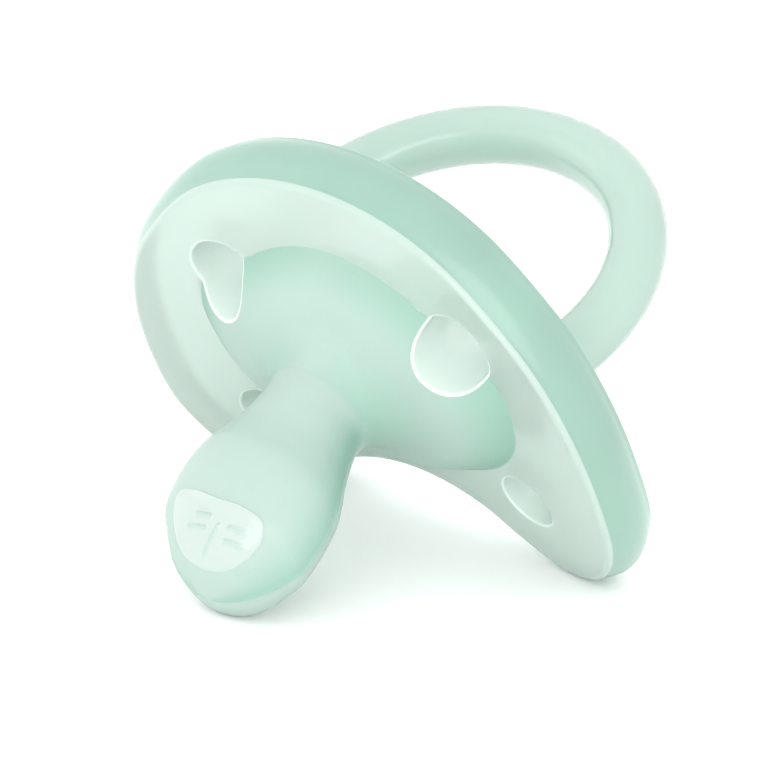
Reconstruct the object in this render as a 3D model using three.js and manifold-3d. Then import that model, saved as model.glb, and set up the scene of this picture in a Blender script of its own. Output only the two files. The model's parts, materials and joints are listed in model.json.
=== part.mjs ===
// One-piece silicone soother: a heart-shaped shield with four vents, a raised mound that
// carries a hollow nipple with a flattened bulb, and a round handle ring on the back.
// Millimetres. The zones of the moulding are separate solids, a small gap apart.
//
// The moulding is drawn upright: the nipple points along -Y, the ring along +Y, and Z runs
// from the notch up to the top edge. It is then tipped forward onto its nipple and lobes.

import * as THREE from 'three';
import { mergeVertices } from 'three/addons/utils/BufferGeometryUtils.js';
import { LoftGeometry } from 'three/addons/geometries/LoftGeometry.js';
import Module from 'manifold-3d';

const wasm = await Module();
wasm.setup();

// Driving dimensions

const GAP = 0.3; // between neighbouring zones of the moulding

const SHIELD_THICKNESS = 5; // at the middle
const SHIELD_SWELL = 0.0007; // per mm², the sides are a little thicker
const SHIELD_EDGE = 0.5; // chamfer round the rim
const RIM_FLARE = 0.5; // how far the back edge stands outside the front edge
const RIM_BULGE = 0.8; // how far the rim's side swells out at half its depth
const SHIELD_BOW = 0.0049; // per mm², the sides curve forward, round the mouth
const SHIELD_ARCH = 0.0018; // per mm², the top and bottom curve back
const SHIELD_LEAN = 0.0173;
const LOBE_CURL = 0.00002;

// Right half of an outline, from the top edge down to the notch, as [x, z].
const SHIELD_OUTLINE = [
  [0, 15.4], [6.7, 14.5], [12.4, 12], [17, 7.85], [20.1, 3.7], [22, -1.9], [22.5, -8],
  [21.75, -13.9], [18.5, -19], [14.1, -20.5], [9.9, -18.7], [7.1, -16.7], [3.4, -15.3], [0, -14.9],
];
const MOUND_OUTLINE = [
  [0, 9.3], [4.4, 8.5], [9.1, 6], [13.4, 3.4], [15.2, -0.8], [14.4, -5.4], [11.6, -9.2],
  [7.2, -11.8], [0, -12.8],
];

// Height of the mound over the shield face, from its crease (0) to the nipple neck (1).
const MOUND_PROFILE = [
  [0, 0], [0.1, 0.85], [0.22, 1.75], [0.36, 2.45], [0.52, 2.95], [0.7, 3.5], [0.85, 4.3], [1, 5.9],
];

const LARGE_VENT = { x: 11.6, z: 3.9, radius: 3.0 };
const SMALL_VENT = { x: 13.1, z: -12.6, radius: 2.45 };

// Cross-sections of the nipple: y, middle z, half width, half height above and below.
const NIPPLE_STATIONS = [
  [-4.5, -1.7, 4.3, 4.3, 4.1],
  [-6.5, -2.1, 4.3, 4.2, 4.1],
  [-8, -2.45, 4.6, 4.15, 4.3],
  [-10, -2.9, 5.25, 4.2, 4.5],
  [-12, -3.4, 6.2, 4.7, 4.5],
  [-14, -3.95, 6.9, 5.3, 4.4],
  [-16, -4.55, 7.1, 5.5, 4.1],
  [-18, -5.2, 6.9, 5.4, 4.0],
  [-19.5, -5.75, 6.0, 4.9, 4.0],
  [-20.8, -6.2, 4.8, 4.15, 3.8],
  [-21.8, -6.6, 3.4, 3.0, 2.9],
  [-22.4, -6.85, 1.95, 1.75, 1.7],
  [-22.7, -7.0, 0.6, 0.5, 0.5],
];
const NECK_START = -6.2;
const BULB_START = -9.8;
const NIPPLE_WALL = 1.8;
const CAVITY_END = -20.6;
const CAVITY_MOUTH = { halfWidth: 5, halfHeight: 4.4, z: -1.6 }; // in the back of the shield

// Tongue patch: a shallow smooth pad let into the top of the bulb, as [x, y] of its right half.
const PATCH_OUTLINE = [
  [0, -18.4], [2.2, -18.2], [3.9, -18.5], [4.1, -19.3], [3.2, -20.6], [1.8, -21.7], [0, -22.1],
];
const PATCH_THICKNESS = 0.7;
const PATCH_PROUD = 0.1;

const RING_CENTRE_Y = 10.6;
const RING_Z = -2.1;
const RING_RADIUS = 15.6; // centreline
const RING_TUBE = 2.4; // tube radius
const ROOT_FLARE = 1.5; // extra tube radius where the ring meets the shield
const ROOT_END = THREE.MathUtils.degToRad(102); // ring angle, from +Y, where a root ends
const ROOT_START = THREE.MathUtils.degToRad(114.5);

const REST_TILT = THREE.MathUtils.degToRad(26.8); // about +X, nipple down

const SHIELD_STEPS = 60;
const NIPPLE_STEPS = 32;
const RING_SIDES = 16;
const RING_STEPS = 33;

const SILICONE = { color: 0xb9e2d0, metalness: 0 };
const glossy = new THREE.MeshStandardMaterial({ ...SILICONE, roughness: 0.22 });
const frosted = new THREE.MeshStandardMaterial({ ...SILICONE, roughness: 0.55 });
const smooth = new THREE.MeshStandardMaterial({ color: 0xd6f2e8, roughness: 0.3, metalness: 0 });

// Geometry helpers

function range(count) {
  return Array.from({ length: count }, (_, i) => i);
}

function angles(count) {
  return range(count).map((i) => (2 * Math.PI * i) / count);
}

// Radius of a mirrored smooth outline as a function of the angle from +Z, either way round.
function polarOutline(halfOutline) {
  const mirrored = halfOutline.slice(1, -1).map(([x, z]) => [-x, z]).reverse();
  const points = [...halfOutline, ...mirrored].map(([x, z]) => new THREE.Vector3(x, 0, z));
  const curve = new THREE.CatmullRomCurve3(points, true, 'centripetal');
  const samples = curve.getPoints(1440)
    .map((p) => ({ angle: Math.atan2(p.x, p.z), radius: Math.hypot(p.x, p.z) }))
    .filter((sample) => sample.angle >= 0)
    .sort((p, q) => p.angle - q.angle);
  return (angle) => {
    const turn = Math.acos(Math.cos(angle));
    const after = samples.findIndex((sample) => sample.angle >= turn);
    const [low, high] = [samples[Math.max(after - 1, 0)], samples.at(after)];
    const t = (turn - low.angle) / (high.angle - low.angle || 1);
    return THREE.MathUtils.lerp(low.radius, high.radius, Math.min(t, 1));
  };
}

const shieldRadius = polarOutline(SHIELD_OUTLINE);
const moundRadius = polarOutline(MOUND_OUTLINE);

function shieldFront(x, z) {
  return -SHIELD_BOW * x * x + SHIELD_ARCH * z * z - SHIELD_LEAN * z + LOBE_CURL * x * x * z;
}

function shieldBack(x, z) {
  return shieldFront(x, z) + SHIELD_THICKNESS + SHIELD_SWELL * x * x;
}

// One column of points at each angle becomes one closed section per row.
function rowsFromColumns(steps, column) {
  const columns = angles(steps).map((angle) => column(-angle));
  return range(columns[0].length).map((row) => columns.map((points) => points[row]));
}

// A ring-shaped body: the rows run round its cross-section and come back to the first one.
function ringLoft(rows) {
  return new LoftGeometry([...rows, rows[0]]);
}

function cappedLoft(rows) {
  return new LoftGeometry(rows, { capStart: true, capEnd: true });
}

function toSolid(geometry) {
  const plain = new THREE.BufferGeometry().copy(geometry);
  plain.deleteAttribute('normal');
  plain.deleteAttribute('uv');
  const welded = mergeVertices(plain, 1e-4);
  return new wasm.Manifold(new wasm.Mesh({
    numProp: 3,
    vertProperties: new Float32Array(welded.attributes.position.array),
    triVerts: new Uint32Array(welded.index.array),
  }));
}

function toGeometry(solid) {
  const mesh = solid.getMesh();
  const geometry = new THREE.BufferGeometry();
  geometry.setAttribute('position', new THREE.BufferAttribute(mesh.vertProperties, 3));
  geometry.setIndex(new THREE.BufferAttribute(mesh.triVerts, 1));
  geometry.computeVertexNormals();
  return geometry;
}

// Vents

function ventCutter({ x, z, radius }) {
  const cutter = new THREE.CylinderGeometry(radius, radius, 40, 28);
  cutter.translate(x, 0, z);
  return toSolid(cutter);
}

function withVents(geometry) {
  const vents = [LARGE_VENT, SMALL_VENT].flatMap((vent) => [vent, { ...vent, x: -vent.x }]);
  return vents.reduce((body, vent) => body.subtract(ventCutter(vent)), toSolid(geometry));
}

// Shield: the flat rim from the mound's crease out to the edge

function shieldColumn(angle) {
  const inner = moundRadius(angle) + GAP / 2;
  const front = shieldRadius(angle);
  const back = front + RIM_FLARE;
  const place = (radius, surface) => {
    const x = radius * Math.sin(angle);
    const z = radius * Math.cos(angle);
    return new THREE.Vector3(x, surface(x, z), z);
  };
  const [frontEdge, backEdge] = [place(front, shieldFront), place(back, shieldBack)];
  const chamfer = SHIELD_EDGE / SHIELD_THICKNESS;
  const side = [chamfer, 0.3, 0.5, 0.7, 1 - chamfer].map((depth) => {
    const radius = front + RIM_FLARE * depth + RIM_BULGE * 4 * depth * (1 - depth);
    const y = THREE.MathUtils.lerp(frontEdge.y, backEdge.y, depth);
    return place(radius, () => y);
  });
  const across = (t, outer) => THREE.MathUtils.lerp(inner, outer - SHIELD_EDGE, t);
  return [
    ...[0, 0.35, 0.7, 1].map((t) => place(across(t, front), shieldFront)),
    ...side,
    ...[1, 0.5, 0].map((t) => place(across(t, back), shieldBack)),
  ];
}

function shieldPlate() {
  return withVents(ringLoft(rowsFromColumns(SHIELD_STEPS, shieldColumn).reverse()));
}

// Nipple: sections at a given y, read off the stations by smooth interpolation

const stationCurves = [1, 2, 3, 4].map((column) => {
  const points = NIPPLE_STATIONS.map((station) => new THREE.Vector2(-station[0], station[column]));
  return new THREE.SplineCurve(points);
});

function stationAt(y) {
  const last = NIPPLE_STATIONS.length - 1;
  const after = Math.max(1, NIPPLE_STATIONS.findIndex((station) => station[0] <= y));
  const [from, to] = [NIPPLE_STATIONS[after - 1][0], NIPPLE_STATIONS[after][0]];
  const t = (after - 1 + (y - from) / (to - from)) / last;
  const [z, width, above, below] = stationCurves.map((curve) => curve.getPoint(t).y);
  return { z, width, above, below };
}

function nipplePoint(y, angle, inset = 0) {
  const { z, width, above, below } = stationAt(y);
  const height = Math.cos(angle) > 0 ? above : below;
  const x = Math.max(width - inset, 0.3) * Math.sin(angle);
  return new THREE.Vector3(x, y, z + Math.max(height - inset, 0.3) * Math.cos(angle));
}

function nippleSection(y, inset = 0) {
  return angles(NIPPLE_STEPS).map((angle) => nipplePoint(y, -angle, inset));
}

function cavityPoint(y, angle) {
  const neck = nipplePoint(NECK_START, angle, NIPPLE_WALL);
  const { halfWidth, halfHeight, z } = CAVITY_MOUTH;
  const mouth = new THREE.Vector3(halfWidth * Math.sin(angle), 0, z + halfHeight * Math.cos(angle));
  const t = (y - NECK_START) / (shieldBack(0, 0) - NECK_START);
  const point = neck.lerp(mouth, t * t);
  return new THREE.Vector3(point.x, y, point.z);
}

// Mound: rises from the crease to the neck, with the mouth of the cavity in its back

const moundCurve = new THREE.SplineCurve(MOUND_PROFILE.map(([t, h]) => new THREE.Vector2(t, h)));

function moundColumn(angle) {
  const rim = moundRadius(angle) - GAP / 2;
  const foot = new THREE.Vector3(rim * Math.sin(angle), 0, rim * Math.cos(angle));
  foot.y = shieldFront(foot.x, foot.z);
  const neck = nipplePoint(NECK_START, angle);
  const rise = foot.y - neck.y;
  const fullHeight = MOUND_PROFILE.at(-1)[1];
  const surface = moundCurve.getPoints(MOUND_PROFILE.length + 3).map((p) => {
    const point = foot.clone().lerp(neck, p.x);
    point.y = foot.y - (rise * p.y) / fullHeight;
    return point;
  });
  const back = shieldBack(foot.x, foot.z);
  const mouth = cavityPoint(shieldBack(0, 0), angle);
  mouth.y = shieldBack(mouth.x, mouth.z);
  const bore = [2, -1, -4].map((y) => cavityPoint(y, angle));
  const lip = nipplePoint(NECK_START, angle, NIPPLE_WALL);
  return [...surface, lip, ...bore.reverse(), mouth, new THREE.Vector3(foot.x, back, foot.z)];
}

function nippleBase() {
  return withVents(ringLoft(rowsFromColumns(NIPPLE_STEPS * 2, moundColumn)));
}

function nippleNeck() {
  const [start, end] = [NECK_START - GAP, BULB_START + GAP];
  const ys = range(5).map((i) => THREE.MathUtils.lerp(start, end, i / 4));
  const outside = ys.map((y) => nippleSection(y));
  const inside = ys.map((y) => nippleSection(y, NIPPLE_WALL)).reverse();
  return toSolid(ringLoft([...outside, ...inside]));
}

// Bulb: a hollow cup, open towards the neck

function fullBulb(inset) {
  const ys = NIPPLE_STATIONS.map((station) => station[0]).filter((y) => y < BULB_START - 1);
  return toSolid(cappedLoft([BULB_START, ...ys].map((y) => nippleSection(y, inset))));
}

function bulbCavity() {
  const ys = [BULB_START + 1, -12, -14, -16, -18, -19.6, CAVITY_END];
  return toSolid(cappedLoft(ys.map((y) => nippleSection(y, NIPPLE_WALL))));
}

function patchPrism(growth) {
  const right = PATCH_OUTLINE.map(([x, y]) => new THREE.Vector2(x, y));
  const left = right.slice(1, -1).map((p) => new THREE.Vector2(-p.x, p.y)).reverse();
  const middle = new THREE.Vector2(0, -20);
  const points = [...right, ...left].map((p) => {
    const away = p.clone().sub(middle);
    return away.setLength(away.length() + growth).add(middle);
  });
  const outline = new THREE.Shape();
  outline.setFromPoints(new THREE.SplineCurve([...points, points[0]]).getPoints(36).slice(0, -1));
  const prism = new THREE.ExtrudeGeometry(outline, { depth: 12, bevelEnabled: false });
  prism.translate(0, 0, -5.2);
  return toSolid(prism);
}

function tonguePatch() {
  const skin = fullBulb(-PATCH_PROUD).subtract(fullBulb(PATCH_THICKNESS));
  return skin.intersect(patchPrism(0));
}

function nippleBulb() {
  const pocket = patchPrism(GAP).subtract(fullBulb(PATCH_THICKNESS + GAP));
  return fullBulb(0).subtract(bulbCavity()).subtract(pocket);
}

// Handle ring: an arc of a torus, square to the shield, whose ends flare into its back

function ringPoint(angle, side, tube) {
  const outward = new THREE.Vector3(Math.sin(angle), Math.cos(angle), 0);
  return new THREE.Vector3(0, RING_CENTRE_Y, RING_Z)
    .addScaledVector(outward, RING_RADIUS - tube * Math.cos(side))
    .add(new THREE.Vector3(0, 0, tube * Math.sin(side)));
}

// Half a side of turn puts a flat on the inside of the ring.
const ringSides = angles(RING_SIDES).map((side) => side + Math.PI / RING_SIDES);

function handleRing() {
  const reach = ROOT_END - GAP / RING_RADIUS;
  const rows = range(RING_STEPS + 1).map((i) => {
    const angle = THREE.MathUtils.lerp(reach, -reach, i / RING_STEPS);
    return ringSides.map((side) => ringPoint(angle, side, RING_TUBE));
  });
  return toSolid(cappedLoft(rows));
}

function handleRoot(mirror) {
  const steps = 5;
  const rows = range(steps + 1).map((i) => {
    const t = i / steps;
    const angle = THREE.MathUtils.lerp(ROOT_START, ROOT_END, t);
    const tube = RING_TUBE + ROOT_FLARE * (1 - t) ** 2;
    const points = ringSides.map((side) => ringPoint(angle, side, tube));
    points.forEach((p) => {
      const onShield = shieldBack(p.x, p.z) + GAP;
      const lowered = THREE.MathUtils.lerp(p.y, onShield, (1 - t) ** 3);
      p.y = Math.max(lowered, onShield + 1.2 * t); // each row stays above the one before it
      p.x *= mirror;
    });
    return points;
  });
  return toSolid(cappedLoft(mirror > 0 ? rows : rows.reverse()));
}

// Assembly

const bodies = [
  ['shield_plate', shieldPlate(), glossy],
  ['nipple_base', nippleBase(), frosted],
  ['nipple_neck', nippleNeck(), frosted],
  ['nipple_bulb', nippleBulb(), frosted],
  ['tongue_patch', tonguePatch(), smooth],
  ['handle_ring', handleRing(), glossy],
  ['handle_root_right', handleRoot(1), glossy],
  ['handle_root_left', handleRoot(-1), glossy],
];

const moulding = new THREE.Group();
for (const [name, solid, material] of bodies) {
  const mesh = new THREE.Mesh(toGeometry(solid), material);
  mesh.name = name;
  moulding.add(mesh);
}
moulding.rotation.x = REST_TILT;

// The origin is under the middle of the resting moulding, on the surface it stands on.
const box = new THREE.Box3().setFromObject(moulding, true);
const middle = box.getCenter(new THREE.Vector3());
moulding.position.set(-middle.x, -middle.y, -box.min.z);

const soother = new THREE.Group();
soother.add(moulding);

export default soother;
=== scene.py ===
"""A one-piece silicone soother on a white floor, built round its CAD frame.

The moulding is drawn upright in millimetres, as in the CAD: the nipple points along -Y, the
ring along +Y and Z runs up the shield. PLACE then carries it to its resting place, in metres.
"""

import json
import math

import bmesh
import bpy
import numpy as np
from mathutils import Matrix, Vector
from mathutils.geometry import delaunay_2d_cdt


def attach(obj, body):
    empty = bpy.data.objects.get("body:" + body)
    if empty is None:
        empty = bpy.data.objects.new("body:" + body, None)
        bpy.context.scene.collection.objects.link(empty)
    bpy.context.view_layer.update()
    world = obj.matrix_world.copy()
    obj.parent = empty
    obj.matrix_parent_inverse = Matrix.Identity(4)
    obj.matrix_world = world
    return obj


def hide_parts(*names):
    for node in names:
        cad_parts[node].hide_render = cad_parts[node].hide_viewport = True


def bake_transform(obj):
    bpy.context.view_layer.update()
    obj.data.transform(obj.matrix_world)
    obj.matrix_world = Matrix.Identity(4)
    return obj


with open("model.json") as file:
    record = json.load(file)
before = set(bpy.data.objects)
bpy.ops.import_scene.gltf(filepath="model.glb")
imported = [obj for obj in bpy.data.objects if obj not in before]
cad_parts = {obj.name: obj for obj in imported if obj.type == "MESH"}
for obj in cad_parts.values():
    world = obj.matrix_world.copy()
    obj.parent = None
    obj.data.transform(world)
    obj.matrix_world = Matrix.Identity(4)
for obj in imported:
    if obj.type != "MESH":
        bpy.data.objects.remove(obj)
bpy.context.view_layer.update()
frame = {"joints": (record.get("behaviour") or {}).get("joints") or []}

MM = 0.001
TAU = 2 * math.pi

# ---------------------------------------------------------------- the moulding's dimensions

SHIELD_THICKNESS = 5
SHIELD_SWELL = 0.0007  # extra thickness with x squared
# The shield's front bows back with x squared and forward with z squared, leans, and curls at
# the lobes.
SHIELD_BOW = 0.0049
SHIELD_ARCH = 0.0018
SHIELD_LEAN = 0.0173
LOBE_CURL = 0.00002
# The rim's side flares out towards the back and bulges in between.
RIM_FLARE = 0.5
RIM_BULGE = 0.8
RIM_FILLET = 0.45
VENT_FILLET = 0.2

SHIELD_OUTLINE = [
    (0, 15.4), (6.7, 14.5), (12.4, 12), (17, 7.85), (20.1, 3.7), (22, -1.9), (22.5, -8),
    (21.75, -13.9), (18.5, -19), (14.1, -20.5), (9.9, -18.7), (7.1, -16.7), (3.4, -15.3),
    (0, -14.9),
]
MOUND_OUTLINE = [
    (0, 9.3), (4.4, 8.5), (9.1, 6), (13.4, 3.4), (15.2, -0.8), (14.4, -5.4), (11.6, -9.2),
    (7.2, -11.8), (0, -12.8),
]
# Share of the way from the mound's crease to the neck, and height there.
MOUND_PROFILE = [
    (0, 0), (0.1, 0.85), (0.22, 1.75), (0.36, 2.45), (0.52, 2.95), (0.7, 3.5), (0.85, 4.3),
    (1, 5.9),
]
# Vents as x, z, radius, on the right side.
VENTS = [(11.6, 3.9, 3.0), (13.1, -12.6, 2.45)]

# Nipple sections: y, middle z, half width, half height above and below.
NIPPLE_STATIONS = [
    (-4.5, -1.7, 4.3, 4.3, 4.1),
    (-6.5, -2.1, 4.3, 4.2, 4.1),
    (-8, -2.45, 4.6, 4.15, 4.3),
    (-10, -2.9, 5.25, 4.2, 4.5),
    (-12, -3.4, 6.2, 4.7, 4.5),
    (-14, -3.95, 6.9, 5.3, 4.4),
    (-16, -4.55, 7.1, 5.5, 4.1),
    (-18, -5.2, 6.9, 5.4, 4.0),
    (-19.5, -5.75, 6.0, 4.9, 4.0),
    (-20.8, -6.2, 4.8, 4.15, 3.8),
    (-21.8, -6.6, 3.4, 3.0, 2.9),
    (-22.4, -6.85, 1.95, 1.75, 1.7),
    (-22.75, -7.0, 0.0, 0.0, 0.0),
]
NECK_START = -6.2
SEAM_START = -11
SEAM_FADE = 2
SEAM_HEIGHT = 0.1
SEAM_WIDTH = 0.16
# How far the painted shade (a deeper tint) reaches, as shares of the bulb's half height and of
# the mound.
SEAM_SHADE = 0.4
CREASE_SHADE = 0.28
NECK_SHADE = 0.3
CREASE_PAINTED_SHADE_ABOVE = 0.45  # strength of the crease's painted shade above the nipple; it is 1 at the sides
NECK_PAINTED_SHADE = 0.8
NIPPLE_WALL = 1.8
CAVITY_END = -20.6
CAVITY_MOUTH = (5, 4.4, -1.6)  # half width, half height, z

PATCH_OUTLINE = [
    (0, -18.4), (2.4, -18.2), (4.2, -18.35), (4.4, -19.2), (3.6, -20.6), (2.1, -21.7), (0, -22.1),
]
PATCH_MIDDLE = -20.0
RIDGE_HEIGHT = 0.24
RIDGE_WIDTH = 0.14
# Ridges on the patch, each a short line of x, y points.
RIDGES = [
    [(-1.35, -19.7), (0, -19.65)],
    [(-1.9, -20.5), (-0.2, -20.4)],
    [(1.9, -19.8), (3.2, -19.6)],
    [(1.8, -20.6), (3.1, -20.4)],
    [(0.95, -20.0), (0.55, -20.9), (0.1, -21.6)],
]

RING_CENTRE_Y = 10.6
RING_Z = -2.1
RING_RADIUS = 15.6
RING_TUBE = 2.4
ROOT_FLARE = 1.5
ROOT_END = math.radians(102)
ROOT_START = math.radians(114.5)

HANDLE_HINGE = (0, 5.9, -2.1)
NIPPLE_HINGE = (0, -8, -2.45)


def joint_point(name):
    return Vector(next(j["pos_m"] for j in frame["joints"] if j["name"] == name))


def placement():
    """Matrix from the upright drawing, in millimetres, to the resting part, in metres."""
    drawn = (Vector(HANDLE_HINGE) - Vector(NIPPLE_HINGE)) * MM
    placed = joint_point("handle_flex") - joint_point("nipple_bend")
    tilt = math.atan2(placed.z, placed.y) - math.atan2(drawn.z, drawn.y)
    turn = Matrix.Rotation(tilt, 4, "X") @ Matrix.Scale(MM, 4)
    shift = joint_point("nipple_bend") - turn @ Vector(NIPPLE_HINGE)
    return Matrix.Translation(shift) @ turn


PLACE = placement()

# ---------------------------------------------------------------- curves


def smooth_line(points, closed=False, steps=24):
    """A centripetal Catmull-Rom line through the points."""
    p = np.array(points, float)
    if closed:
        p = np.vstack([p[-1], p, p[:2]])
    else:
        p = np.vstack([2 * p[0] - p[1], p, 2 * p[-1] - p[-2]])
    line = []
    for p0, p1, p2, p3 in zip(p, p[1:], p[2:], p[3:]):
        knots = [0.0]
        for a, b in ((p0, p1), (p1, p2), (p2, p3)):
            knots.append(knots[-1] + max(np.linalg.norm(b - a), 1e-6) ** 0.5)
        t0, t1, t2, t3 = knots
        t = np.linspace(t1, t2, steps, endpoint=False)[:, None]
        a1 = (t1 - t) / (t1 - t0) * p0 + (t - t0) / (t1 - t0) * p1
        a2 = (t2 - t) / (t2 - t1) * p1 + (t - t1) / (t2 - t1) * p2
        a3 = (t3 - t) / (t3 - t2) * p2 + (t - t2) / (t3 - t2) * p3
        b1 = (t2 - t) / (t2 - t0) * a1 + (t - t0) / (t2 - t0) * a2
        b2 = (t3 - t) / (t3 - t1) * a2 + (t - t1) / (t3 - t1) * a3
        line.append((t2 - t) / (t2 - t1) * b1 + (t - t1) / (t2 - t1) * b2)
    line = np.vstack(line)
    return line if closed else np.vstack([line, p[-2]])


def mirrored(half):
    return list(half) + [(-x, z) for x, z in reversed(half[1:-1])]


def polar(half, middle=0.0):
    """Radius of a mirrored outline about (0, middle), by angle from +Z towards +X."""
    loop = smooth_line(mirrored(half), closed=True, steps=60)
    angle = np.arctan2(loop[:, 0], loop[:, 1] - middle) % TAU
    radius = np.hypot(loop[:, 0], loop[:, 1] - middle)
    order = np.argsort(angle)
    return lambda a: np.interp(np.asarray(a) % TAU, angle[order], radius[order], period=TAU)


def around(count):
    return np.arange(count) * TAU / count


def on_circle(radius, angle, x=0.0, z=0.0):
    return np.stack([x + radius * np.sin(angle), z + radius * np.cos(angle)], -1)


# ---------------------------------------------------------------- the moulding's surfaces

_profile = smooth_line(MOUND_PROFILE)
_stations = smooth_line([(y, z, w * w, a * a, b * b) for y, z, w, a, b in NIPPLE_STATIONS])


def station(y):
    columns = [np.interp(-np.asarray(y, float), -_stations[:, 0], c) for c in _stations.T[1:]]
    z, width, above, below = columns
    return z, *(np.sqrt(np.maximum(c, 0)) for c in (width, above, below))


def nipple_section(y, angle, inset=0.0):
    z, width, above, below = station(y)
    height = np.where(np.cos(angle) > 0, above, below)
    x = np.maximum(width - inset, 0) * np.sin(angle)
    dz = np.maximum(height - inset, 0) * np.cos(angle)
    return np.stack([x, np.full_like(x, y), z + dz], -1)


def past_seam_start(y):
    return np.clip((SEAM_START - y) / SEAM_FADE, 0, 1)


def seam(y, angle):
    """Height of the fine seam that runs round the bulb at its widest."""
    _, width, _, _ = station(y)
    away = width * np.cos(angle)
    return SEAM_HEIGHT * past_seam_start(y) * np.exp(-((away / SEAM_WIDTH) ** 2))


NECK_Z = float(station(NECK_START)[0])
shield_radius = polar(SHIELD_OUTLINE)
crease_radius = polar(MOUND_OUTLINE, NECK_Z)


def neck_radius(angle):
    _, width, above, below = station(NECK_START)
    height = np.where(np.cos(angle) > 0, above, below)
    return 1 / np.hypot(np.sin(angle) / width, np.cos(angle) / height)


def plate_front(x, z):
    return -SHIELD_BOW * x * x + SHIELD_ARCH * z * z - SHIELD_LEAN * z + LOBE_CURL * x * x * z


def plate_back(x, z):
    return plate_front(x, z) + SHIELD_THICKNESS + SHIELD_SWELL * x * x


def mound_share(x, z):
    """0 at the crease and beyond it, 1 at the neck."""
    angle = np.arctan2(x, z - NECK_Z)
    radius = np.hypot(x, z - NECK_Z)
    rim, neck = crease_radius(angle), neck_radius(angle)
    return np.clip((rim - radius) / (rim - neck), 0, 1)


def front(x, z):
    share = mound_share(x, z)
    angle = np.arctan2(x, z - NECK_Z)
    foot = on_circle(crease_radius(angle), angle, z=NECK_Z)
    foot_y = plate_front(foot[..., 0], foot[..., 1])
    rise = np.interp(share, _profile[:, 0], _profile[:, 1] / _profile[-1, 1])
    return np.where(share > 0, foot_y + (NECK_START - foot_y) * rise, plate_front(x, z))


# ---------------------------------------------------------------- mesh building


class Skin:
    """Collects rows and fills of points, in millimetres, and welds them into one mesh."""

    def __init__(self):
        self.bm = bmesh.new()

    def add(self, points):
        return [self.bm.verts.new(p) for p in points]

    def face(self, verts, material):
        if len(set(verts)) > 2:
            self.bm.faces.new(verts).material_index = material

    def strip(self, rows, material=0):
        """Quads between closed rows that have the same number of points."""
        rows = [self.add(row) for row in rows]
        count = len(rows[0])
        for low, high in zip(rows, rows[1:]):
            for i in range(count):
                j = (i + 1) % count
                self.face([low[i], low[j], high[j], high[i]], material)

    def fan(self, row, tip, material=0):
        row, tip = self.add(row), self.add([tip])[0]
        for i, vert in enumerate(row):
            self.face([vert, row[(i + 1) % len(row)], tip], material)

    def fill(self, rings, surface, inside, material_of):
        """Triangles over x, z points. Each ring is (points, drop below the surface, is_edge)."""
        flat, drops, edges = [], [], []
        for points, drop, is_edge in rings:
            start = len(flat)
            flat.extend(map(tuple, points))
            drops.extend([drop] * len(points))
            if is_edge:
                count = len(points)
                edges.extend((start + i, start + (i + 1) % count) for i in range(count))
        coords, _, faces, origins, _, _ = delaunay_2d_cdt(
            [Vector(p) for p in flat], edges, [], 0, 1e-7, True)
        x, z = np.array([c[:] for c in coords]).T
        drop = np.array([max(drops[i] for i in o) if o else 0.0 for o in origins])
        verts = self.add(np.stack([x, surface(x, z) + drop, z], -1))
        for tri in faces:
            mx, mz = x[tri].mean(), z[tri].mean()
            if inside(mx, mz):
                self.face([verts[i] for i in tri], material_of(mx, mz))

    def finish(self, name, materials, shade_depth=None):
        """Makes the piece. depth gives how much painted shade each point gets, 0 to 1."""
        bm = self.bm
        bmesh.ops.remove_doubles(bm, verts=bm.verts, dist=WELD)
        bmesh.ops.dissolve_degenerate(bm, edges=bm.edges, dist=1e-5)
        bmesh.ops.recalc_face_normals(bm, faces=bm.faces)
        points = np.array([v.co[:] for v in bm.verts])
        bm.transform(PLACE)
        mesh = bpy.data.meshes.new(name)
        bm.to_mesh(mesh)
        bm.free()
        # painted shade: each point's darker tint is stored as the depth attribute
        if shade_depth:
            values = mesh.attributes.new("shade_depth", "FLOAT", "POINT").data
            values.foreach_set("value", shade_depth(*points.T))
        for material in materials:
            mesh.materials.append(material)
        mesh.shade_smooth()
        piece = bpy.data.objects.new(name, mesh)
        bpy.context.scene.collection.objects.link(piece)
        return piece


def fillet(radius):
    """Inset, drop and whether it is the wall's edge, from the wall to the face."""
    for i in range(FILLET_STEPS + 1):
        a = (math.pi / 2) * (1 - i / FILLET_STEPS)
        yield radius * (1 - math.sin(a)), radius * (1 - math.cos(a)), i == 0


def inset_loop(loop, distance):
    tangent = np.roll(loop, -1, 0) - np.roll(loop, 1, 0)
    normal = np.stack([tangent[:, 1], -tangent[:, 0]], -1)
    normal /= np.linalg.norm(normal, axis=1, keepdims=True)
    if (normal * loop).sum() > 0:
        normal = -normal
    return loop + normal * distance


WELD = 1e-4
FILLET_STEPS = 5
RIM_POINTS = 360
RIM_ROWS = 13
VENT_POINTS = 64
VENT_ROWS = 9
FIELD_POINTS = 150
NECK_POINTS = 112
NIPPLE_ROWS = 61
TIP_CROWDING = 1.8
CAVITY_ROWS = 40
CAVITY_TOP = 3.5
# Rings of points over the faces, as shares of the way from the hole to the rim, across the
# mound's crease, and as shares of the way from the crease to the neck.
FRONT_SHARES = np.linspace(0.12, 1, 8)
BACK_SHARES = np.linspace(0.16, 1, 12)
CREASE_STEPS = (-0.25, -0.1, 0.0, 0.1, 0.25)
MOUND_SHARES = np.linspace(0.06, 1, 26)[:-1]
# Gaps between a fillet and the next ring.
RIM_GAP = 0.35
VENT_GAP = 0.25
FIELD_GAP = 0.9
FIELD_VENT_GAP = 0.4
MOUND_VENT_GAP = 0.3
# The nipple's sections have more points beside the seam, which is narrow.
BESIDE_SEAM = np.array([-0.035, -0.02, -0.01, 0.01, 0.02, 0.035])
NIPPLE_ANGLES = np.sort(np.concatenate([
    around(NECK_POINTS),
    TAU / 4 + BESIDE_SEAM,
    TAU * 3 / 4 + BESIDE_SEAM,
]))
all_vents = [(side * x, z, r) for x, z, r in VENTS for side in (1, -1)]


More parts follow.
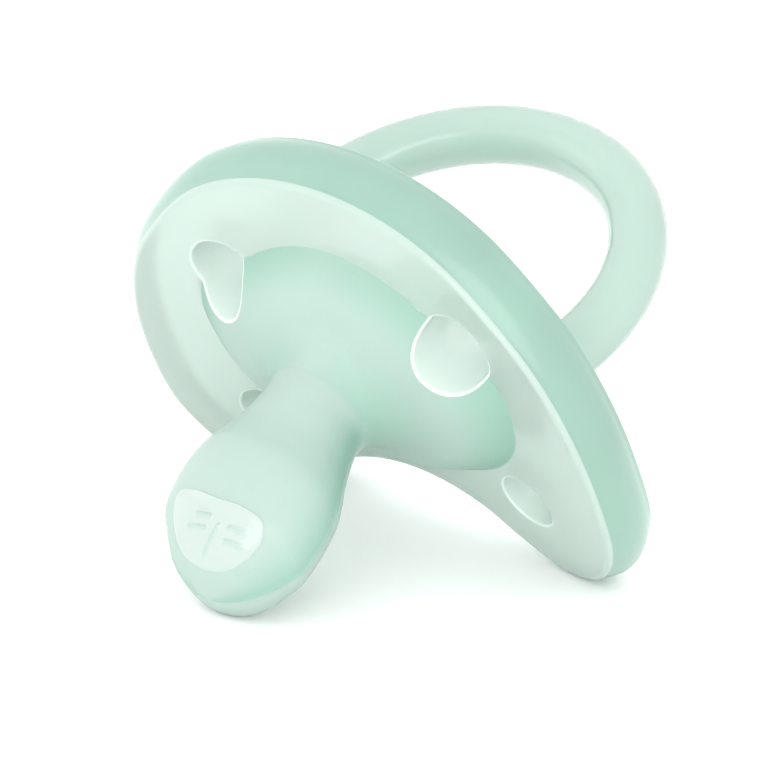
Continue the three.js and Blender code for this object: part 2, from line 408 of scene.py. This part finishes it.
def outside_vents(points, margin):
    keep = np.ones(len(points), bool)
    for x, z, r in all_vents:
        keep &= np.hypot(points[:, 0] - x, points[:, 1] - z) > r + margin
    return points[keep]


def plate_rings(outline, hole_radius, hole_z, shares, sign):
    """Rings shared by both faces: the rim's fillet, the vents' fillets and the field between."""
    rim = on_circle(outline(around(RIM_POINTS)), around(RIM_POINTS))
    rings = [
        (inset_loop(rim, inset), sign * drop, is_edge)
        for inset, drop, is_edge in fillet(RIM_FILLET)
    ]
    rings.append((inset_loop(rim, RIM_FILLET + RIM_GAP), 0.0, False))
    for x, z, r in all_vents:
        for inset, drop, is_edge in fillet(VENT_FILLET):
            ring = on_circle(r + inset, around(VENT_POINTS), x, z)
            rings.append((ring, sign * drop, is_edge))
        ring = on_circle(r + VENT_FILLET + VENT_GAP, around(VENT_POINTS), x, z)
        rings.append((ring, 0.0, False))
    angle = around(FIELD_POINTS)
    outer = outline(angle) - RIM_FILLET - FIELD_GAP
    for share in shares:
        start = on_circle(hole_radius(angle), angle, z=hole_z)
        end = on_circle(outer, angle)
        ring = start + (end - start) * share
        rings.append((outside_vents(ring, VENT_FILLET + FIELD_VENT_GAP), 0.0, False))
    return rings


def front_rings():
    rings = plate_rings(shield_radius, crease_radius, NECK_Z, FRONT_SHARES, 1)
    angle = around(NECK_POINTS)
    rim, neck = crease_radius(angle), neck_radius(angle)
    for step in CREASE_STEPS:
        ring = on_circle(rim + step, angle, z=NECK_Z)
        rings.append((outside_vents(ring, VENT_FILLET + MOUND_VENT_GAP), 0.0, False))
    for share in MOUND_SHARES:
        ring = on_circle(rim + (neck - rim) * share, angle, z=NECK_Z)
        rings.append((outside_vents(ring, VENT_FILLET + MOUND_VENT_GAP), 0.0, False))
    rings.append((nipple_section(NECK_START, NIPPLE_ANGLES)[:, [0, 2]], 0.0, True))
    return rings


def cavity_loop(y):
    """A section of the nipple's cavity: it widens smoothly to its mouth in the shield's back."""
    angle = around(NECK_POINTS)
    if y <= NECK_START:
        return nipple_section(y, angle, NIPPLE_WALL)
    neck = nipple_section(NECK_START, angle, NIPPLE_WALL)
    width, height, z = CAVITY_MOUTH
    mouth = np.stack([width * np.sin(angle), 0 * angle, z + height * np.cos(angle)], -1)
    t = (y - NECK_START) / (SHIELD_THICKNESS - NECK_START)
    loop = neck + (mouth - neck) * t * t
    loop[:, 1] = y
    return loop


def mouth_radius(angle):
    width, height, _ = CAVITY_MOUTH
    return 1 / np.hypot(np.sin(angle) / width, np.cos(angle) / height)


def back_outline(angle):
    return shield_radius(angle) + RIM_FLARE


def back_rings():
    mouth_z = CAVITY_MOUTH[2]
    rings = plate_rings(back_outline, mouth_radius, mouth_z, BACK_SHARES, -1)
    angle = around(NECK_POINTS)
    for inset, drop, is_edge in fillet(RIM_FILLET):
        ring = on_circle(mouth_radius(angle) + inset, angle, z=mouth_z)
        rings.append((ring, -drop, is_edge))
    return rings


def inside_plate(outline, hole_radius, hole_z):
    def test(x, z):
        in_rim = math.hypot(x, z) < outline(math.atan2(x, z))
        in_hole = math.hypot(x, z - hole_z) < hole_radius(math.atan2(x, z - hole_z)) - 1e-5
        in_vent = any(math.hypot(x - vx, z - vz) < r - 1e-3 for vx, vz, r in all_vents)
        return in_rim and not in_hole and not in_vent
    return test


def wall_rows(front_loop, back_loop, inset, rows, bulge=0.0):
    """Rows of a wall through the plate, from the front fillet to the back one."""
    start = np.insert(front_loop, 1, front(*front_loop.T) + inset, axis=1)
    end = np.insert(back_loop, 1, plate_back(*back_loop.T) - inset, axis=1)
    outward = start * (1, 0, 1) / np.hypot(start[:, 0], start[:, 2])[:, None]
    for t in np.linspace(0, 1, rows):
        yield start + (end - start) * t + outward * bulge * 4 * t * (1 - t)


def nipple_rows():
    """Rows from the neck to the tip, closer together towards the tip."""
    tip = NIPPLE_STATIONS[-1][0]
    share = 1 - (1 - np.linspace(0, 1, NIPPLE_ROWS)) ** TIP_CROWDING
    ys = NECK_START + (tip - NECK_START) * share
    return [nipple_section(y, NIPPLE_ANGLES, -seam(y, NIPPLE_ANGLES)) for y in ys[:-1]]


FACE, SIDE_PAINTED_SHADE, VENT_PAINTED_LIGHT, EDGE_PAINTED_HIGHLIGHT, MOUND, BULB = range(6)  # material slots of the moulding; the side, vent and edge slots hold copies of the face's silicone painted darker for shade, lighter for light, and for a highlight strip

# The corner to round: its span along y, its least radius and share of the mound.
CORNER_FROM, CORNER_TO = -8.6, -3.6
CORNER_RADIUS = 3.4
CORNER_SHARE = 0.55
CORNER_PASSES = 14


def soften_neck(bm):
    """Rounds the corner where the mound's sweep meets the neck, but not the cavity."""
    near = [
        v for v in bm.verts
        if CORNER_FROM < v.co.y < CORNER_TO
        and math.hypot(v.co.x, v.co.z - NECK_Z) > CORNER_RADIUS
        and mound_share(v.co.x, v.co.z) > CORNER_SHARE
    ]
    for _ in range(CORNER_PASSES):
        bmesh.ops.smooth_vert(bm, verts=near, factor=0.5,
                              use_axis_x=True, use_axis_y=True, use_axis_z=True)


def plate_material(x, z, outline, behind=False):
    """Which silicone a point of the plate shows: the vent fillets get the lighter vent copy as
    painted light, the front rim fillet a copy for a painted highlight strip, and the back rim
    fillet the darker side copy as painted shade.
    """
    to_rim = outline(math.atan2(x, z)) - math.hypot(x, z)
    to_vent = min(math.hypot(x - vx, z - vz) - r for vx, vz, r in all_vents)
    if to_vent < VENT_FILLET:
        return VENT_PAINTED_LIGHT
    if to_rim < RIM_FILLET:
        return SIDE_PAINTED_SHADE if behind else EDGE_PAINTED_HIGHLIGHT
    return FACE if behind or mound_share(x, z) == 0 else MOUND


def painted_shade_depth(x, y, z):
    """Painted shade: a deeper tint just above the bulb's seam, in the mound's crease and beside
    the neck, standing in for the shade of the translucent silicone there.
    """
    middle, _, above, below = station(y)
    up = (z - middle) / np.where(z > middle, above, below).clip(0.1)
    on_nipple = np.clip((NECK_START + 1 - y) / 2, 0, 1)
    above_seam = np.where(up > 0, 1, 1 - past_seam_start(y))
    # painted shade just above the bulb's seam
    bulb_painted_shade = np.exp(-((up / SEAM_SHADE) ** 2)) * above_seam * on_nipple
    # painted shade in the mound's crease, stronger at the sides, and beside the neck
    share = mound_share(x, z)
    side = np.abs(np.sin(np.arctan2(x, z - NECK_Z)))
    crease = np.exp(-((share / CREASE_SHADE) ** 2))
    crease = crease * (CREASE_PAINTED_SHADE_ABOVE + (1 - CREASE_PAINTED_SHADE_ABOVE) * side)
    neck = np.exp(-(((1 - share) / NECK_SHADE) ** 2)) * side
    on_mound = (y > NECK_START) * (y < 2)  # not the nipple, nor the shield's back
    return np.maximum(bulb_painted_shade, np.maximum(crease, NECK_PAINTED_SHADE * neck) * on_mound)


def moulding(materials):
    """Shield, mound and nipple: one continuous skin, as it is moulded."""
    skin = Skin()
    skin.fill(front_rings(), front, inside_plate(shield_radius, neck_radius, NECK_Z),
              lambda x, z: plate_material(x, z, shield_radius))
    skin.fill(back_rings(), plate_back,
              inside_plate(back_outline, mouth_radius, CAVITY_MOUTH[2]),
              lambda x, z: plate_material(x, z, back_outline, behind=True))
    angle = around(RIM_POINTS)
    rim = on_circle(shield_radius(angle), angle)
    back_rim = on_circle(back_outline(angle), angle)
    # the side wall gets the darker copy: painted shade
    skin.strip(wall_rows(rim, back_rim, RIM_FILLET, RIM_ROWS, RIM_BULGE), SIDE_PAINTED_SHADE)
    for x, z, r in all_vents:
        hole = on_circle(r, around(VENT_POINTS), x, z)
        # the vent walls get the lighter copy: painted light
        skin.strip(wall_rows(hole, hole, VENT_FILLET, VENT_ROWS), VENT_PAINTED_LIGHT)
    rows = nipple_rows()
    skin.strip(rows, BULB)
    tip = NIPPLE_STATIONS[-1]
    skin.fan(rows[-1], (0, tip[0], tip[1]), BULB)
    mouth = on_circle(mouth_radius(around(NECK_POINTS)), around(NECK_POINTS), z=CAVITY_MOUTH[2])
    mouth = np.insert(mouth, 1, plate_back(*mouth.T) - RIM_FILLET, axis=1)
    depths = np.linspace(CAVITY_TOP, CAVITY_END, CAVITY_ROWS)
    cavity = [mouth] + [cavity_loop(y) for y in depths]
    skin.strip(cavity, BULB)
    skin.fan(cavity[-1], cavity[-1].mean(0), BULB)
    bmesh.ops.remove_doubles(skin.bm, verts=skin.bm.verts, dist=WELD)
    soften_neck(skin.bm)
    # the moulding's depth attribute is painted shade
    return skin.finish("moulding", materials, painted_shade_depth)


RING_SIDES = 56
RING_ROWS = 150
ROOT_ROWS = 15
ROOT_CLEARANCE = 0.02  # between the root's first row and the shield
ROOT_RISE = 1.2  # least height of the root's last row above the shield
ROOT_SINK = 0.6


def ring_row(angle, tube):
    side = around(RING_SIDES)
    outward = np.array([math.sin(angle), math.cos(angle), 0])
    middle = np.array([0, RING_CENTRE_Y, RING_Z])
    reach = RING_RADIUS - tube * np.cos(side)
    row = middle + reach[:, None] * outward
    row[:, 2] += tube * np.sin(side)
    return row


def handle(materials):
    """The ring, whose two ends flare and sink into the shield's back."""
    root = []
    for t in np.linspace(0, 1, ROOT_ROWS)[:-1]:
        angle = ROOT_START + (ROOT_END - ROOT_START) * t
        row = ring_row(angle, RING_TUBE + ROOT_FLARE * (1 - t) ** 2)
        surface = plate_back(row[:, 0], row[:, 2]) + ROOT_CLEARANCE
        row[:, 1] += (surface - row[:, 1]) * (1 - t) ** 3
        row[:, 1] = np.maximum(row[:, 1], surface + ROOT_RISE * t)
        root.append(row)
    sunk = root[0].copy()
    sunk[:, 1] -= ROOT_SINK
    root.insert(0, sunk)
    arc = [ring_row(a, RING_TUBE) for a in np.linspace(ROOT_END, -ROOT_END, RING_ROWS)]
    mirror = np.array([-1, 1, 1])
    rows = root + arc + [row * mirror for row in reversed(root)]
    skin = Skin()
    skin.strip(rows)
    skin.fan(rows[0], rows[0].mean(0))
    skin.fan(rows[-1], rows[-1].mean(0))
    return skin.finish("handle", materials)


def bulb_top(x, y):
    z, width, above, _ = station(y)
    return z + above * np.sqrt(np.maximum(1 - (x / width) ** 2, 0))


def ridge_height(x, y):
    height = np.zeros_like(x)
    for line in RIDGES:
        line = smooth_line(line, steps=12)
        away = np.hypot(x[:, None] - line[:, 0], y[:, None] - line[:, 1]).min(1)
        height = np.maximum(height, RIDGE_HEIGHT * np.exp(-((away / RIDGE_WIDTH) ** 2)))
    return height


PAD_POINTS = 120
PAD_RINGS = 48
PAD_LIFT = 0.09
PAD_SINK = 0.6
# The pad's rounded edge, from below the bulb's skin: share of the outline, and lift.
PAD_EDGE = [(0.97, -0.45), (1.0, -0.2), (1.0, 0.0), (0.985, 0.05), (0.96, 0.075)]
RIDGE_PAINTED_SHADE = 0.55  # how dark the painted shade along the ridges is


def tongue_pad(materials):
    """A shallow smooth pad with ridges, let into the top of the bulb."""
    angle = around(PAD_POINTS)
    outline = polar(PATCH_OUTLINE, PATCH_MIDDLE)
    edge = on_circle(outline(angle), angle, z=PATCH_MIDDLE)
    middle = np.array([0, PATCH_MIDDLE])
    rows = []
    for share, lift in PAD_EDGE:
        x, y = (middle + (edge - middle) * share).T
        rows.append(np.stack([x, y, bulb_top(x, y) + lift], -1))
    for share in np.linspace(0.93, 0.02, PAD_RINGS):
        x, y = (middle + (edge - middle) * share).T
        rows.append(np.stack([x, y, bulb_top(x, y) + PAD_LIFT + ridge_height(x, y)], -1))
    skin = Skin()
    skin.strip(rows)
    skin.fan(rows[-1], rows[-1].mean(0))
    skin.fan(rows[0], rows[0].mean(0) - np.array([0, 0, PAD_SINK]))
    # painted shade along the ridges, darker where they stand highest
    return skin.finish("tongue_pad", materials,
                       lambda x, y, z: RIDGE_PAINTED_SHADE * ridge_height(x, y) / RIDGE_HEIGHT)


# ---------------------------------------------------------------- materials

SILICONE_IOR = 1.41
ABSORPTION_COLOUR = (0.37, 0.70, 0.56, 1)
ABSORPTION_DENSITY = 45.0
PAINTED_SHADE_TINT = (0.69, 0.89, 0.81)  # share of the tint left where the painted shade is deepest
COAT_ROUGHNESS = 0.08
ROUGHNESS_SPREAD = 1.2
CLOUD_SCALE = 90
GRAIN_SCALE = 3500
GRAIN_HEIGHT = 0.00008


def noise(nodes, links, coords, scale):
    texture = nodes.new("ShaderNodeTexNoise")
    texture.inputs["Scale"].default_value = scale
    texture.inputs["Detail"].default_value = 2
    links.new(coords.outputs["Object"], texture.inputs["Vector"])
    return texture.outputs["Fac"]


def with_painted_shade(nodes, links, colour, tint):
    """Mixes in a darker tint as painted shade where the mesh's depth attribute says so."""
    painted_shade_node = nodes.new("ShaderNodeMix")
    painted_shade_node.data_type = "RGBA"
    painted_shade_node.inputs["B"].default_value = (*[c * d for c, d in zip(tint, PAINTED_SHADE_TINT)], 1)
    shade_depth = nodes.new("ShaderNodeAttribute")
    shade_depth.attribute_name = "shade_depth"
    links.new(shade_depth.outputs["Fac"], painted_shade_node.inputs["Factor"])
    links.new(colour, painted_shade_node.inputs["A"])
    return painted_shade_node.outputs["Result"]


def silicone(name, tint, roughness, coat, grain, transmission, cloud=0.03, use_painted_shade=False):
    """Tinted silicone: light passes through it, and the tint deepens with the way it goes. Where
    asked, painted shade is mixed into the colour as well.
    """
    material = bpy.data.materials.new(name)
    material.use_nodes = True
    nodes, links = material.node_tree.nodes, material.node_tree.links
    shader = nodes["Principled BSDF"]
    shader.inputs["IOR"].default_value = SILICONE_IOR
    shader.inputs["Transmission Weight"].default_value = transmission
    shader.inputs["Coat Weight"].default_value = coat
    shader.inputs["Coat Roughness"].default_value = COAT_ROUGHNESS
    shader.inputs["Coat IOR"].default_value = SILICONE_IOR
    coords = nodes.new("ShaderNodeTexCoord")
    clouds = noise(nodes, links, coords, CLOUD_SCALE)
    colour = nodes.new("ShaderNodeMix")
    colour.data_type = "RGBA"
    colour.inputs["A"].default_value = (*[c * (1 - cloud) for c in tint], 1)
    colour.inputs["B"].default_value = (*[c * (1 + cloud) for c in tint], 1)
    links.new(clouds, colour.inputs["Factor"])
    result = colour.outputs["Result"]
    # painted shade: a darker tint mixed in from the mesh's depth attribute
    if use_painted_shade:
        result = with_painted_shade(nodes, links, result, tint)
    links.new(result, shader.inputs["Base Color"])
    rough = nodes.new("ShaderNodeMapRange")
    rough.inputs["To Min"].default_value = roughness
    rough.inputs["To Max"].default_value = roughness * ROUGHNESS_SPREAD
    links.new(clouds, rough.inputs["Value"])
    links.new(rough.outputs["Result"], shader.inputs["Roughness"])
    bump = nodes.new("ShaderNodeBump")
    bump.inputs["Strength"].default_value = grain
    bump.inputs["Distance"].default_value = GRAIN_HEIGHT
    links.new(noise(nodes, links, coords, GRAIN_SCALE), bump.inputs["Height"])
    links.new(bump.outputs["Normal"], shader.inputs["Normal"])
    inner = nodes.new("ShaderNodeVolumeAbsorption")
    inner.inputs["Color"].default_value = ABSORPTION_COLOUR
    inner.inputs["Density"].default_value = ABSORPTION_DENSITY
    links.new(inner.outputs["Volume"], nodes["Material Output"].inputs["Volume"])
    return material


face = silicone("flange_face", (0.54, 0.655, 0.595),
                roughness=0.32, coat=1.0, grain=0.03, transmission=0.5)
# flange_side_painted_shade: a darker copy of the face's silicone, painted shade on the side wall
# and the back rim fillet
side = silicone("flange_side_painted_shade", (0.32, 0.515, 0.43),
                roughness=0.32, coat=0.3, grain=0.03, transmission=0.4, cloud=0.08)
# vent_wall_painted_light: a lighter copy, painted light on the vent walls and their fillets
vent_painted_light = silicone("vent_wall_painted_light", (0.70, 0.81, 0.755),
                roughness=0.32, coat=1.0, grain=0.03, transmission=0.25)
# rim_edge_painted_highlight: a copy with less coat and transmission on the front rim fillet, for
# a painted highlight strip
edge = silicone("rim_edge_painted_highlight", (0.525, 0.655, 0.59),
                roughness=0.34, coat=0.3, grain=0.03, transmission=0.35)
# The mound, bulb and pad copies take painted shade from the depth attribute.
mound = silicone("frosted_mound", (0.49, 0.64, 0.575),
                 roughness=0.5, coat=0.0, grain=0.3, transmission=0.4, cloud=0.07, use_painted_shade=True)
bulb = silicone("frosted_bulb", (0.485, 0.62, 0.565),
                roughness=0.45, coat=0.2, grain=0.2, transmission=0.4, cloud=0.04, use_painted_shade=True)
loop = silicone("ring_silicone", (0.445, 0.585, 0.52),
                roughness=0.32, coat=0.8, grain=0.03, transmission=0.65)
smooth = silicone("smooth_silicone", (0.485, 0.57, 0.535),
                  roughness=0.34, coat=0.6, grain=0.03, transmission=0.25, use_painted_shade=True)

# ---------------------------------------------------------------- pieces

body = moulding([face, side, vent_painted_light, edge, mound, bulb])
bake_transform(body)
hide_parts("shield_plate", "nipple_base", "nipple_neck", "nipple_bulb")

ring = handle([loop])
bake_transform(ring)
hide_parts("handle_ring", "handle_root_right", "handle_root_left")

patch = tongue_pad([smooth])
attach(patch, "nipple")
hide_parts("tongue_patch")

# ---------------------------------------------------------------- floor, light and camera

FLOOR_SIZE = 8.0
FLOOR_ALBEDO = 0.98
WORLD_STRENGTH = 1.6
# Name, direction from the object, distance, size and power.
LIGHTS = [
    ("top_light", (-0.2, -0.1, 1.0), 1.0, 1.2, 0.8),
    ("key_light", (-1.0, -0.6, 0.5), 0.8, 0.35, 0.3),
    ("front_light", (0.55, -1.0, 0.2), 0.85, 0.7, 4.6),
]
LIGHTS_AIM = Vector((0, 0, 0.016))


def plain_floor():
    bm = bmesh.new()
    bmesh.ops.create_grid(bm, x_segments=1, y_segments=1, size=FLOOR_SIZE / 2)
    mesh = bpy.data.meshes.new("floor")
    bm.to_mesh(mesh)
    bm.free()
    material = bpy.data.materials.new("floor_white")
    material.use_nodes = True
    shader = material.node_tree.nodes["Principled BSDF"]
    shader.inputs["Base Color"].default_value = (*[FLOOR_ALBEDO] * 3, 1)
    shader.inputs["Roughness"].default_value = 0.9
    shader.inputs["Specular IOR Level"].default_value = 0.1
    mesh.materials.append(material)
    floor = bpy.data.objects.new("floor", mesh)
    bpy.context.scene.collection.objects.link(floor)


def soft_light(name, direction, distance, size, power):
    """A square light that faces the object's middle."""
    data = bpy.data.lights.new(name, "AREA")
    data.shape = "SQUARE"
    data.size = size
    data.energy = power
    light = bpy.data.objects.new(name, data)
    light.location = LIGHTS_AIM + Vector(direction).normalized() * distance
    light.rotation_euler = Vector(direction).to_track_quat("Z", "Y").to_euler()
    bpy.context.scene.collection.objects.link(light)


def studio():
    world = bpy.data.worlds.new("studio")
    world.use_nodes = True
    background = world.node_tree.nodes["Background"]
    background.inputs["Color"].default_value = (1, 1, 1, 1)
    background.inputs["Strength"].default_value = WORLD_STRENGTH
    bpy.context.scene.world = world
    bpy.context.scene.view_settings.view_transform = "Standard"
    for name, direction, distance, size, power in LIGHTS:
        soft_light(name, direction, distance, size, power)


# The camera looks from the right and a little above, with a long lens. Both directions are
# in the upright drawing.
CAMERA_TOWARDS = (0.5792, -0.4852, 0.6550)
CAMERA_UP = (-0.2581, 0.6531, 0.7120)
CAMERA_DISTANCE = 0.4505
CAMERA_LENS = 276.2
CAMERA_SENSOR = 36
AIM_RIGHT = 1.692 * MM  # from the nipple's root to the middle of the view
AIM_DOWN = 3.175 * MM


def axes(towards, up):
    """A matrix whose columns are a camera's right, up and backward directions."""
    back = Vector(towards).normalized()
    right = Vector(up).cross(back).normalized()
    return Matrix((right, back.cross(right), back)).transposed()


def photo_camera():
    turn = PLACE.to_quaternion().to_matrix()
    view = turn @ axes(CAMERA_TOWARDS, CAMERA_UP)
    root = PLACE @ Vector((0, 0, 0))
    eye = root + view.col[2] * CAMERA_DISTANCE
    aim = root + view.col[0] * AIM_RIGHT - view.col[1] * AIM_DOWN
    data = bpy.data.cameras.new("camera")
    data.lens = CAMERA_LENS
    data.sensor_width = CAMERA_SENSOR
    data.clip_start = 0.01
    camera = bpy.data.objects.new("camera", data)
    facing = axes(eye - aim, view.col[1]).to_4x4()
    camera.matrix_world = Matrix.Translation(eye) @ facing
    bpy.context.scene.collection.objects.link(camera)
    bpy.context.scene.camera = camera


plain_floor()
studio()
photo_camera()
